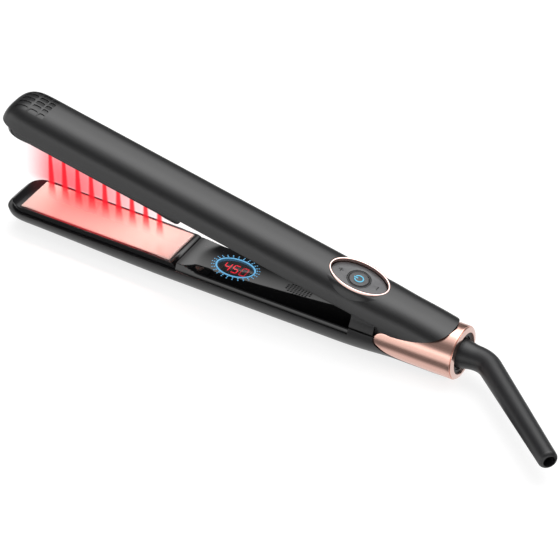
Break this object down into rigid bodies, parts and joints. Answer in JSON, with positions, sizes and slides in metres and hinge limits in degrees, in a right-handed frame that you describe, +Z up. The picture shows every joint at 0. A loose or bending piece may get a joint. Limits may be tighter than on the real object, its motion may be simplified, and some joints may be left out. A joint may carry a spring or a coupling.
{
  "type": "hair straightener",
  "caption": "Hair straightener with hinged arms, floating ceramic plates, infrared lamps, lit digital display, oval control pod and swivelling cord boot",
  "frame": {"origin": "on the table plane under the lower arm, on the lower arm's centre plane, 98.6 mm in front of the hinge axis", "axes": "+X along the arms from the plates' nose to the cord, +Z up from the table, +Y across the arms; the cord boot points towards +X and -Y, and the rest pose has the arms open"},
  "size_m": [0.3433, 0.0688, 0.0792],
  "materials": {
    "charcoal_casing": "satin soft-touch",
    "frame_black": "glossy",
    "plate_ceramic": "glossy rose ceramic coating",
    "heater_ceramic": "matte",
    "silicone": "matte",
    "steel": "satin",
    "spring_steel": "satin",
    "gloss_black": "piano gloss",
    "smoked_lens": "gloss, smoked",
    "blue_light": "lit, frosted",
    "red_digits": "lit",
    "circuit_board": "satin",
    "inner_black": "satin",
    "rose_gold": "satin metallic",
    "infrared_lamp": "lit, clear",
    "control_grey": "satin",
    "control_black": "satin",
    "icon_blue": "lit",
    "boot_rubber": "matte"
  },
  "bodies": {
    "lower_arm": {"lower_shell": "charcoal_casing", "lower_frame": "frame_black", "lower_pads": "silicone", "lower_screws": "steel", "display_panel": "gloss_black", "display_lens": "smoked_lens", "ring_light": "blue_light", "tick_lights": "blue_light", "display_digits": "red_digits", "display_board": "circuit_board", "hinge_hood": "charcoal_casing", "hinge_bracket": "inner_black", "hinge_pin": "steel", "arm_spring": "spring_steel", "collar": "rose_gold", "end_ring": "rose_gold", "swivel_cup": "inner_black"},
    "lower_plate": {"lower_plate": "plate_ceramic", "lower_heater": "heater_ceramic"},
    "upper_arm": {"upper_shell": "charcoal_casing", "upper_frame": "frame_black", "upper_pads": "silicone", "upper_screws": "steel", "infrared_leds": "infrared_lamp", "led_board": "circuit_board", "upper_cover": "inner_black", "pod_ring": "rose_gold", "button_guide": "inner_black", "control_board": "circuit_board"},
    "upper_plate": {"upper_plate": "plate_ceramic", "upper_heater": "heater_ceramic"},
    "temperature_rocker": {"temperature_rocker": "control_grey"},
    "power_button": {"power_button": "control_black", "power_icon": "icon_blue"},
    "cord_swivel": {"swivel_disc": "inner_black", "cord_boot": "boot_rubber"}
  },
  "joints": [
    {"name": "arm_hinge", "type": "hinge", "parent": "lower_arm", "child": "upper_arm", "pos_m": [0.0986, 0, 0.0142], "axis": [0, 1, 0], "range_deg": [-11, 0], "stiffness_Nm_per_rad": 0.9, "springref_deg": 20.05, "deforming": ["arm_spring"]},
    {"name": "lower_float", "type": "slide", "parent": "lower_arm", "child": "lower_plate", "axis": [0, 0, -1], "range_m": [0, 0.001], "stiffness_N_per_m": 5000, "springref_m": -0.0003, "deforming": ["lower_pads"]},
    {"name": "upper_float", "type": "slide", "parent": "upper_arm", "child": "upper_plate", "axis": [0.1925, 0, 0.9813], "range_m": [0, 0.001], "stiffness_N_per_m": 5000, "springref_m": -0.0003, "deforming": ["upper_pads"]},
    {"name": "temperature_rock", "type": "hinge", "parent": "upper_arm", "child": "temperature_rocker", "pos_m": [0.0725, 0, 0.03593], "axis": [0, 1, 0], "range_deg": [-2.5, 2.5], "stiffness_Nm_per_rad": 0.4},
    {"name": "power_press", "type": "slide", "parent": "upper_arm", "child": "power_button", "axis": [-0.1925, 0, -0.9813], "range_m": [0, 0.0005], "stiffness_N_per_m": 2000, "springref_m": -0.0002},
    {"name": "cord_turn", "type": "hinge", "parent": "lower_arm", "child": "cord_swivel", "pos_m": [0.1331, 0, 0.0142], "axis": [1, 0, 0], "continuous": true}
  ]
}
